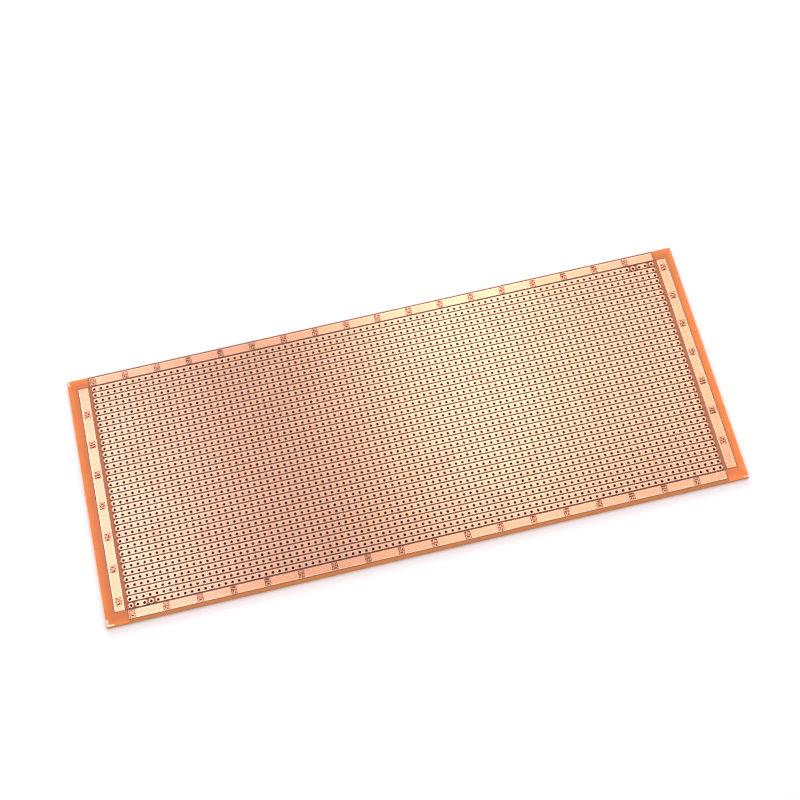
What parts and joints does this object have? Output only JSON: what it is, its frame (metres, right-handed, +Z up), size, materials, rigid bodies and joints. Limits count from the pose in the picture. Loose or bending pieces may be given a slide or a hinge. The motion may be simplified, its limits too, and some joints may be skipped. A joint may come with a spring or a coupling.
{
  "type": "strip board",
  "caption": "Flat phenolic prototype board with a square grid of lead holes, parallel copper strips, wide edge rails with etched numbers and corner marks on one face.",
  "frame": {"origin": "centre of the bare underside, on the surface that the board lies on", "axes": "+X along the copper strips, +Y across them towards the first strip (back edge), +Z up out of the copper side"},
  "size_m": [0.2454, 0.1006, 0.0016],
  "materials": {
    "phenolic": "orange-brown paper-phenolic laminate, satin",
    "copper": "bare etched copper foil under a thin clear lacquer, satin"
  },
  "bodies": {
    "root": {"phenolic_board": "phenolic", "strip_01": "copper", "strip_02": "copper", "strip_03": "copper", "strip_04": "copper", "strip_05": "copper", "strip_06": "copper", "strip_07": "copper", "strip_08": "copper", "strip_09": "copper", "strip_10": "copper", "strip_11": "copper", "strip_12": "copper", "strip_13": "copper", "strip_14": "copper", "strip_15": "copper", "strip_16": "copper", "strip_17": "copper", "strip_18": "copper", "strip_19": "copper", "strip_20": "copper", "strip_21": "copper", "strip_22": "copper", "strip_23": "copper", "strip_24": "copper", "strip_25": "copper", "strip_26": "copper", "strip_27": "copper", "strip_28": "copper", "strip_29": "copper", "strip_30": "copper", "strip_31": "copper", "strip_32": "copper", "strip_33": "copper", "strip_34": "copper", "strip_35": "copper", "strip_36": "copper", "pad_back_inner": "copper", "pad_back_pair": "copper", "pad_back_corner": "copper", "pad_front_corner": "copper", "pad_front_pair": "copper", "pad_front_inner": "copper", "rail_back": "copper", "rail_front": "copper", "rail_left": "copper", "rail_right": "copper", "numerals_back": "copper", "numerals_front": "copper", "numerals_left": "copper", "numerals_right": "copper", "mark_front_left": "copper", "mark_front_right": "copper", "mark_back_left": "copper"}
  },
  "joints": []
}
